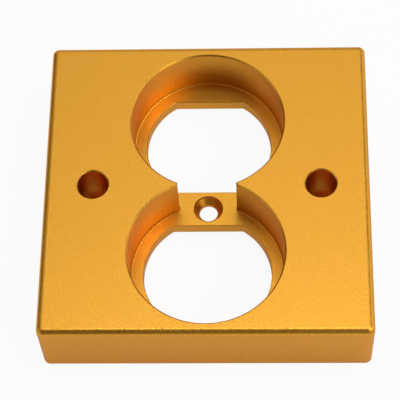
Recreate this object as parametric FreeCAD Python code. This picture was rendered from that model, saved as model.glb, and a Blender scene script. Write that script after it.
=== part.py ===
"""Square surround for a duplex mains outlet, machined from one block of aluminium.

The block lies on its back: +Z is the face that looks into the room, z = 0 is the plane
that meets the wall box, and the origin is at the middle of that plane. X runs along the
two fixing holes and Y along the two outlets. All sizes are in millimetres.
"""

import FreeCAD
import Part

import math
import os

from FreeCAD import Vector

# Block
THICKNESS = 20.0
END_WALL = 3.05         # least wall, from a pocket to the nearest side
CORNER_R = 1.8          # upright corners
TOP_ROUND = 1.6         # edge round of the room side
BASE_BREAK = 0.5        # bevel where the block meets the wall

# Duplex receptacle that comes through from behind
OUTLET_PITCH = 38.9     # centre to centre of its two faces
OUTLET_FACE_D = 33.8
OUTLET_FACE_FLATS = 28.2
FACE_CLEARANCE = 0.2    # all round each face
OPENING_CORNER_R = 1.0  # end mill's radius, where a flat meets the round
OPENING_BREAK = 0.15

# Web that the openings and the screw go through
WEB = 3.5
BACK_RECESS = 2.0       # depth behind the web
BACK_MARGIN = 2.0       # recess beyond the openings
BACK_CORNER_R = 3.0

# Round plug pockets, open to each other through a gate
POCKET_D = 41.0
POCKET_FLOOR_R = 0.3    # left by the end mill's corner
GATE_W = 15.6
RIM_BREAK = 0.4

# Countersunk screw that holds the receptacle
SCREW_HOLE_D = 5.0
SCREW_HEAD_D = 8.0
SCREW_HEAD_ANGLE = 90.0
SCREW_LAND = 1.0        # straight hole left under the countersink

# Fixing screws to the wall box, with their heads sunk deep
FIXING_PITCH = 60.3
FIXING_HOLE_D = 4.3
FIXING_HEAD_D = 8.2
FIXING_SEAT = 5.0       # metal under the head
FIXING_BREAK = 0.3

# Derived sizes
SIDE = OUTLET_PITCH + POCKET_D + 2 * END_WALL   # 86 mm, the common square wall box plate
OPENING_D = OUTLET_FACE_D + 2 * FACE_CLEARANCE
OPENING_FLATS = OUTLET_FACE_FLATS + 2 * FACE_CLEARANCE
WEB_TOP = BACK_RECESS + WEB
OVERCUT = 1.0           # how far a cutter runs past a face that it opens
TOL = 1e-4


def centred_box(length_x, length_y, z_low, z_high):
    corner = Vector(-length_x / 2, -length_y / 2, z_low)
    return Part.makeBox(length_x, length_y, z_high - z_low, corner)


def cylinder(diameter, z_low, z_high, x=0.0, y=0.0):
    return Part.makeCylinder(diameter / 2, z_high - z_low, Vector(x, y, z_low))


def section(profile, x=0.0, y=0.0):
    """Closed outline in an upright plane, from (radius, z) points out from x, y."""
    points = [Vector(x + radius, y, z) for radius, z in profile]
    return Part.makePolygon(points + points[:1])


def turned(profile, x=0.0, y=0.0):
    """Solid of revolution about the upright axis at x, y, from (radius, z) points."""
    face = Part.Face(section(profile, x, y))
    return face.revolve(Vector(x, y, 0), Vector(0, 0, 1), 360)


def upright_edges(solid):
    return [e for e in solid.Edges if e.BoundBox.XLength < TOL and e.BoundBox.YLength < TOL]


def level_edges(solid, z):
    return [e for e in solid.Edges if abs(e.BoundBox.ZMin - z) < TOL and e.BoundBox.ZLength < TOL]


def cut_edges(solid, cutter, z):
    """Edges of the solid at height z that run along the upright walls of the cutter."""
    walls = []
    for face in cutter.Faces:
        u_low, u_high, v_low, v_high = face.ParameterRange
        normal = face.normalAt((u_low + u_high) / 2, (v_low + v_high) / 2)
        if abs(normal.z) < TOL:
            walls.append(face)
    found = []
    for edge in level_edges(solid, z):
        middle = Part.Vertex(edge.valueAt((edge.FirstParameter + edge.LastParameter) / 2))
        if any(wall.distToShape(middle)[0] < TOL for wall in walls):
            found.append(edge)
    return found


def make_block():
    """Square block with upright corners rounded, top edges rounded and base edges bevelled."""
    block = centred_box(SIDE, SIDE, 0, THICKNESS)
    block = block.makeFillet(CORNER_R, upright_edges(block))
    top_round = min(TOP_ROUND, 0.9 * CORNER_R)
    block = block.makeFillet(top_round, level_edges(block, THICKNESS))
    return block.makeChamfer(BASE_BREAK, level_edges(block, 0))


def mouth_profile(half_width):
    """Right half of a pocket's section, from the web up to a bevelled rim."""
    top = THICKNESS + OVERCUT
    rim = half_width + RIM_BREAK
    return [(0, WEB_TOP), (half_width, WEB_TOP), (half_width, THICKNESS - RIM_BREAK),
            (rim, THICKNESS), (rim, top), (0, top)]


def cut_plug_pockets(body):
    """Two overlapping round pockets, with the cusps between them milled back to a gate."""
    half = Part.Face(section(mouth_profile(GATE_W / 2), y=-OUTLET_PITCH / 2))
    gate = half.extrude(Vector(0, OUTLET_PITCH, 0))
    cutter = gate.fuse(gate.mirror(Vector(0, 0, 0), Vector(1, 0, 0)))
    for side in (-1, 1):
        cutter = cutter.fuse(turned(mouth_profile(POCKET_D / 2), y=side * OUTLET_PITCH / 2))
    cutter = cutter.removeSplitter()
    body = body.cut(cutter)
    return body.makeFillet(POCKET_FLOOR_R, cut_edges(body, cutter, WEB_TOP))


def cut_back_recess(body):
    """Shallow recess that takes the receptacle's body and leaves the web above it."""
    width = OPENING_D + 2 * BACK_MARGIN
    length = OUTLET_PITCH + OPENING_FLATS + 2 * BACK_MARGIN
    cutter = centred_box(width, length, -OVERCUT, BACK_RECESS)
    cutter = cutter.makeFillet(BACK_CORNER_R, upright_edges(cutter))
    return body.cut(cutter)


def cut_outlet_openings(body):
    """A round opening with two flats for each face of the receptacle."""
    for side in (-1, 1):
        middle = side * OUTLET_PITCH / 2
        slab = centred_box(SIDE, OPENING_FLATS, 0, THICKNESS)
        slab.translate(Vector(0, middle, 0))
        cutter = cylinder(OPENING_D, 0, THICKNESS, y=middle).common(slab)
        cutter = cutter.makeFillet(OPENING_CORNER_R, upright_edges(cutter))
        body = body.cut(cutter)
        body = body.makeChamfer(OPENING_BREAK, cut_edges(body, cutter, WEB_TOP))
    return body


def cut_receptacle_screw(body):
    """Countersunk hole through the middle of the bridge, with the head below its surface."""
    hole = SCREW_HOLE_D / 2
    head = SCREW_HEAD_D / 2
    seat = BACK_RECESS + SCREW_LAND
    cone_top = seat + (head - hole) / math.tan(math.radians(SCREW_HEAD_ANGLE / 2))
    mouth = max(WEB_TOP, cone_top) + OVERCUT
    profile = [(0, 0), (hole, 0), (hole, seat), (head, cone_top), (head, mouth), (0, mouth)]
    return body.cut(turned(profile))


def cut_fixings(body):
    """Deep counterbored holes for the two screws that hold the block to its wall box."""
    hole = FIXING_HOLE_D / 2
    head = FIXING_HEAD_D / 2
    mouth = head + FIXING_BREAK
    profile = [(0, -OVERCUT), (hole, -OVERCUT), (hole, FIXING_SEAT), (head, FIXING_SEAT),
               (head, THICKNESS - FIXING_BREAK), (mouth, THICKNESS),
               (mouth, THICKNESS + OVERCUT), (0, THICKNESS + OVERCUT)]
    for side in (-1, 1):
        body = body.cut(turned(profile, x=side * FIXING_PITCH / 2))
    return body


def make_surround():
    body = make_block()
    body = cut_plug_pockets(body)
    body = cut_back_recess(body)
    body = cut_outlet_openings(body)
    body = cut_receptacle_screw(body)
    return cut_fixings(body)


surround = make_surround()
os.makedirs("parts", exist_ok=True)
surround.exportStep("parts/outlet_surround.step")
print("surround: valid", surround.isValid(), "solids", len(surround.Solids),
      "volume", round(surround.Volume, 1))
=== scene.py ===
"""Square duplex outlet surround, machined from aluminium and anodised gold.

The metal part comes whole from its frame. This add-on gives it its finish, and sets the
table, lamps and camera round it. Lengths are in metres unless a name says otherwise.
"""

from math import pi, radians

import bpy
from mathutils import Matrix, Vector


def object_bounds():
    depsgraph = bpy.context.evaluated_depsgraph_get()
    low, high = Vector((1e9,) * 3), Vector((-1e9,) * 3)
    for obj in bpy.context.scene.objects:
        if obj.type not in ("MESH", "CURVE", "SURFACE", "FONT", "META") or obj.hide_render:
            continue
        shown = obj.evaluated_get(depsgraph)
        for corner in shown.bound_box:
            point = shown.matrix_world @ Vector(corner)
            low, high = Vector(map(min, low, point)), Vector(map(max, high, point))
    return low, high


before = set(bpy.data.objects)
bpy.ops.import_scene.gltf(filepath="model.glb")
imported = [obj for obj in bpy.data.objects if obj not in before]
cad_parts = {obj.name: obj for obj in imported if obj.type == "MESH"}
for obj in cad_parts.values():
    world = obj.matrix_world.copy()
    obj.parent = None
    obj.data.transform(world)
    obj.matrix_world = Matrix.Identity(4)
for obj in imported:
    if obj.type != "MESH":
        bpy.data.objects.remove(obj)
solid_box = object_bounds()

bl_info = {
    "name": "Outlet surround in anodised aluminium",
    "version": (1, 0, 0),
    "blender": (4, 5, 0),
    "location": "View3D > Sidebar > Surround",
    "description": "Finishes a machined outlet surround and sets its studio",
    "category": "Object",
}

NODE = "outlet_surround"
MM = 0.001
POCKET_REACH = 41 * MM      # from the middle past the far end of either plug pocket
FLOOR_TOP = 5.7 * MM        # just above the floors of the pockets
FLOOR_GRAIN = 1.25          # depth of the grain there, against the grain elsewhere
OXIDE_IOR = 1.65
GLOW_SEEN = 0.93            # share of plain white in the table as the camera sees it
GLOW_MIRRORED = 0.35        # the same share in what the metal mirrors

# Softboxes round the part: where each stands, how wide and high it is, and how bright
SOFTBOXES = {
    "overhead_strip": {"place": (0.00, 0.16, 1.00), "width": 0.55, "height": 0.15, "radiance": 5.2},
    "high_right": {"place": (0.36, 0.02, 0.93), "width": 0.30, "height": 0.34, "radiance": 3.2},
    "right": {"place": (0.68, -0.26, 0.68), "width": 1.10, "height": 0.46, "radiance": 2.4},
    "high_back": {"place": (0.08, 0.52, 0.85), "width": 0.75, "height": 0.50, "radiance": 0.90},
    "high_left": {"place": (-0.58, 0.20, 0.80), "width": 0.85, "height": 0.60, "radiance": 0.35},
    "low_right": {"place": (0.80, 0.50, 0.28), "width": 1.60, "height": 0.44, "radiance": 0.95},
    "low_back": {"place": (-0.25, 0.95, 0.35), "width": 0.90, "height": 0.60, "radiance": 0.6},
    "low_left": {"place": (-0.85, -0.45, 0.28), "width": 1.40, "height": 0.44, "radiance": 0.6},
    "low_front": {"place": (0.35, -0.90, 0.25), "width": 1.20, "height": 0.40, "radiance": 0.2},
}


def linear(hex_colour, alpha=None):
    """Linear colour of an sRGB hex value, with an alpha where one is given."""
    channels = [int(hex_colour[i:i + 2], 16) / 255 for i in (1, 3, 5)]
    made = [c / 12.92 if c <= 0.04045 else ((c + 0.055) / 1.055) ** 2.4 for c in channels]
    return made if alpha is None else made + [alpha]


def add_node(tree, kind, inputs=None, **settings):
    """Adds a node, makes its settings, and fills its inputs with values or other nodes' outputs."""
    node = tree.nodes.new(kind)
    for name, value in settings.items():
        setattr(node, name, value)
    for name, value in (inputs or {}).items():
        if isinstance(value, bpy.types.NodeSocket):
            tree.links.new(value, node.inputs[name])
        else:
            node.inputs[name].default_value = value
    return node


def new_material(name):
    """Material with an empty node tree."""
    material = bpy.data.materials.new(name)
    material.use_nodes = True
    material.node_tree.nodes.clear()
    return material, material.node_tree


class SurroundFinish(bpy.types.PropertyGroup):
    """Finish of the metal."""

    gold: bpy.props.FloatVectorProperty(
        name="Gold", description="Colour of the dyed oxide over bright metal",
        subtype="COLOR", size=3, min=0, max=1, default=linear("#E2A224"))
    # Painted sparkle: this darker gold paints shade into the bottoms of the blasted dimples.
    sparkle_shade_gold: bpy.props.FloatVectorProperty(
        name="Deep gold", description="Colour at the bottom of a dimple, where more dye shows",
        subtype="COLOR", size=3, min=0, max=1, default=linear("#DB9B21"))
    edge_tint: bpy.props.FloatVectorProperty(
        name="Edge tint", description="What is left of a glancing reflection inside the dyed oxide",
        subtype="COLOR", size=3, min=0, max=1, default=linear("#F0C090"))
    grain: bpy.props.FloatProperty(
        name="Grain", description="Width of one blasted dimple as drawn",
        subtype="DISTANCE", unit="LENGTH", min=0.05 * MM, default=0.40 * MM)
    grain_depth: bpy.props.FloatProperty(
        name="Grain depth", description="Depth of the blasted dimples",
        subtype="DISTANCE", unit="LENGTH", min=0, default=0.035 * MM)
    roughness: bpy.props.FloatProperty(
        name="Roughness", description="Roughness of the blasted metal",
        subtype="FACTOR", min=0, max=1, default=0.32)
    floor_roughness: bpy.props.FloatProperty(
        name="Floor roughness", description="Roughness of the floors of the plug pockets",
        subtype="FACTOR", min=0, max=1, default=0.34)
    sheen: bpy.props.FloatProperty(
        name="Sheen", description="Strength of the clear oxide's own white reflection",
        subtype="FACTOR", min=0, max=1, default=0.45)
    sheen_roughness: bpy.props.FloatProperty(
        name="Sheen roughness", description="Roughness of the clear oxide's face",
        subtype="FACTOR", min=0, max=1, default=0.35)


class SurroundStudio(bpy.types.PropertyGroup):
    """Table, lamps and camera."""

    table_colour: bpy.props.FloatVectorProperty(
        name="Table", description="Colour of the table and of what lies behind it",
        subtype="COLOR", size=3, min=0, max=1, default=linear("#F6F6F4"))
    table_width: bpy.props.FloatProperty(
        name="Table width", description="Side of the square table",
        subtype="DISTANCE", unit="LENGTH", min=0.5, default=4.0)
    room_colour: bpy.props.FloatVectorProperty(
        name="Room", description="Colour of the dim room round the lamps",
        subtype="COLOR", size=3, min=0, max=1, default=linear("#FFEBCB"))
    room: bpy.props.FloatProperty(
        name="Room light", description="Strength of the even light from the room",
        min=0, default=0.16)
    lamp_level: bpy.props.FloatProperty(
        name="Lamp level", description="Scales all softboxes together",
        min=0, default=1.0)
    camera_place: bpy.props.FloatVectorProperty(
        name="Camera place", description="Where the camera stands",
        subtype="TRANSLATION", unit="LENGTH", size=3, default=(0.01545, -0.21008, 0.40801))
    camera_turn: bpy.props.FloatVectorProperty(
        name="Camera turn", description="How the camera is turned",
        subtype="EULER", unit="ROTATION", size=3,
        default=(radians(27.877), radians(2.140), radians(0.731)))
    focal_length: bpy.props.FloatProperty(
        name="Focal length", description="Focal length in millimetres on a 36 mm sensor",
        subtype="DISTANCE_CAMERA", min=1, default=150.65)


def bead_blasted_anodised_aluminium(finish):
    """Bead-blasted aluminium, anodised and dyed gold.

    The blasting leaves a satin metal with a fine even sparkle. The bumps draw it, and a painted
    sparkle adds to it: the bottoms of the dimples are painted a darker gold as their shade.
    The dyed oxide colours what the metal reflects, and the clear face of the oxide adds a
    faint white sheen.
    """
    material, tree = new_material("bead_blasted_anodised_aluminium")
    place = add_node(tree, "ShaderNodeTexCoord").outputs["Object"]

    # Beads of 0.1 to 0.2 mm leave dimples finer than this; they are drawn coarser to show.
    dimples = add_node(tree, "ShaderNodeTexNoise", {
        "Vector": place, "Scale": 1 / finish.grain, "Detail": 1.0, "Roughness": 0.5})
    # The floors of the pockets lie low and near the middle, and stay coarser than the rest.
    level = add_node(tree, "ShaderNodeVectorMath", {0: place, 1: (1, 1, 0)}, operation="MULTIPLY")
    reach = add_node(tree, "ShaderNodeVectorMath", {0: level.outputs[0]}, operation="LENGTH")
    near = add_node(tree, "ShaderNodeMath", {
        0: reach.outputs["Value"], 1: POCKET_REACH}, operation="LESS_THAN")
    height = add_node(tree, "ShaderNodeSeparateXYZ", {"Vector": place}).outputs["Z"]
    low = add_node(tree, "ShaderNodeMath", {0: height, 1: FLOOR_TOP}, operation="LESS_THAN")
    floor = add_node(tree, "ShaderNodeMath", {
        0: near.outputs[0], 1: low.outputs[0]}, operation="MULTIPLY")

    # Painted sparkle: where the dimple noise is low, the colour turns to the darker gold, which
    # paints shade into the pits between the bumps.
    painted_sparkle = add_node(tree, "ShaderNodeMapRange", {
        "Value": dimples.outputs["Fac"], "From Min": 0.62, "From Max": 0.38})
    colour = add_node(tree, "ShaderNodeMix", {
        "Factor": painted_sparkle.outputs[0], 6: (*finish.gold, 1), 7: (*finish.sparkle_shade_gold, 1)},
        data_type="RGBA")
    base = add_node(tree, "ShaderNodeMapRange", {
        "Value": floor.outputs[0], "To Min": finish.roughness, "To Max": finish.floor_roughness})
    spread = add_node(tree, "ShaderNodeMapRange", {
        "Value": dimples.outputs["Fac"], "From Min": 0.3, "From Max": 0.7,
        "To Min": -0.05, "To Max": 0.05})
    roughness = add_node(tree, "ShaderNodeMath", {
        0: base.outputs[0], 1: spread.outputs[0]}, operation="ADD")
    depth = add_node(tree, "ShaderNodeMapRange", {
        "Value": floor.outputs[0],
        "To Min": finish.grain_depth, "To Max": FLOOR_GRAIN * finish.grain_depth})
    bump = add_node(tree, "ShaderNodeBump", {
        "Height": dimples.outputs["Fac"], "Strength": 1.0, "Distance": depth.outputs[0]})
    metal = add_node(tree, "ShaderNodeBsdfPrincipled", {
        "Base Color": colour.outputs[2], "Metallic": 1.0, "Roughness": roughness.outputs[0],
        "Specular Tint": (*finish.edge_tint, 1),
        "Coat Weight": finish.sheen, "Coat Roughness": finish.sheen_roughness,
        "Coat IOR": OXIDE_IOR,
        "Normal": bump.outputs["Normal"], "Coat Normal": bump.outputs["Normal"]})
    add_node(tree, "ShaderNodeOutputMaterial", {"Surface": metal.outputs["BSDF"]})
    return material


def table_material(studio):
    """Matt white table that shows white and keeps a soft shadow."""
    material, tree = new_material("matt_white_table")
    colour = (*studio.table_colour, 1)
    lit = add_node(tree, "ShaderNodeBsdfDiffuse", {"Color": colour})
    white = add_node(tree, "ShaderNodeEmission", {"Color": (1, 1, 1, 1), "Strength": 1.0})
    ray = add_node(tree, "ShaderNodeLightPath").outputs
    shown = add_node(tree, "ShaderNodeMath", {
        0: ray["Is Camera Ray"], 1: GLOW_SEEN}, operation="MULTIPLY")
    seen = add_node(tree, "ShaderNodeMath", {
        0: ray["Is Glossy Ray"], 1: ray["Is Transmission Ray"]}, operation="MAXIMUM")
    share = add_node(tree, "ShaderNodeMath", {
        0: seen.outputs[0], 1: GLOW_MIRRORED, 2: shown.outputs[0]}, operation="MULTIPLY_ADD")
    mix = add_node(tree, "ShaderNodeMixShader", {
        "Fac": share.outputs[0], 1: lit.outputs[0], 2: white.outputs[0]})
    add_node(tree, "ShaderNodeOutputMaterial", {"Surface": mix.outputs[0]})
    return material


def add_softbox(name, place, width, height, radiance, level):
    """Flat rectangular lamp of even radiance that faces the part."""
    bpy.ops.object.light_add(type="AREA", location=place)
    lamp = bpy.context.object
    lamp.name = name + "_softbox"
    lamp.rotation_euler = Vector(place).to_track_quat("Z", "Y").to_euler()
    lamp.data.shape = "RECTANGLE"
    lamp.data.size, lamp.data.size_y = width, height
    lamp.data.energy = level * radiance * pi * width * height
    lamp.visible_camera = False
    return lamp


class SURROUND_OT_finish_metal(bpy.types.Operator):
    """Gives the surround its bead-blasted gold anodised finish"""

    bl_idname = "surround.finish_metal"
    bl_label = "Finish the metal"

    def execute(self, context):
        finish = context.scene.surround_finish
        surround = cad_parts[NODE]
        material = bead_blasted_anodised_aluminium(finish)
        for slot in surround.material_slots:
            slot.material = material
        return {"FINISHED"}


class SURROUND_OT_set_studio(bpy.types.Operator):
    """Sets the table, the lamps and the camera round the surround"""

    bl_idname = "surround.set_studio"
    bl_label = "Set the studio"

    def execute(self, context):
        studio = context.scene.surround_studio
        low, high = solid_box
        bpy.ops.object.select_all(action="DESELECT")

        bpy.ops.mesh.primitive_plane_add(size=studio.table_width, location=(0, 0, low[2]))
        table = context.object
        table.name = "table"
        table.data.materials.append(table_material(studio))

        for name, box in SOFTBOXES.items():
            add_softbox(name, level=studio.lamp_level, **box)

        world = bpy.data.worlds.new("even_room")
        world.use_nodes = True
        world.node_tree.nodes.clear()
        room = add_node(world.node_tree, "ShaderNodeBackground", {
            "Color": (*studio.room_colour, 1), "Strength": studio.room})
        add_node(world.node_tree, "ShaderNodeOutputWorld", {"Surface": room.outputs[0]})
        context.scene.world = world

        bpy.ops.object.camera_add(location=studio.camera_place, rotation=studio.camera_turn)
        camera = context.object
        camera.name = "camera"
        camera.data.sensor_width = 36.0
        camera.data.lens = studio.focal_length
        camera.data.clip_start = 0.01
        context.scene.camera = camera
        context.scene.view_settings.view_transform = "Standard"
        return {"FINISHED"}


class SURROUND_PT_sidebar(bpy.types.Panel):
    """Lists the settings and steps of the surround"""

    bl_idname = "SURROUND_PT_sidebar"
    bl_label = "Outlet surround"
    bl_space_type = "VIEW_3D"
    bl_region_type = "UI"
    bl_category = "Surround"

    def draw(self, context):
        for group in (context.scene.surround_finish, context.scene.surround_studio):
            box = self.layout.box()
            for name in group.__annotations__:
                box.prop(group, name)
        for step in STEPS:
            self.layout.operator(step.bl_idname)


STEPS = (SURROUND_OT_finish_metal, SURROUND_OT_set_studio)
CLASSES = (SurroundFinish, SurroundStudio, *STEPS, SURROUND_PT_sidebar)


def register():
    for cls in CLASSES:
        bpy.utils.register_class(cls)
    bpy.types.Scene.surround_finish = bpy.props.PointerProperty(type=SurroundFinish)
    bpy.types.Scene.surround_studio = bpy.props.PointerProperty(type=SurroundStudio)


def unregister():
    del bpy.types.Scene.surround_studio
    del bpy.types.Scene.surround_finish
    for cls in reversed(CLASSES):
        bpy.utils.unregister_class(cls)


def main():
    register()
    bpy.ops.surround.finish_metal()
    bpy.ops.surround.set_studio()


if __name__ == "__main__":
    main()
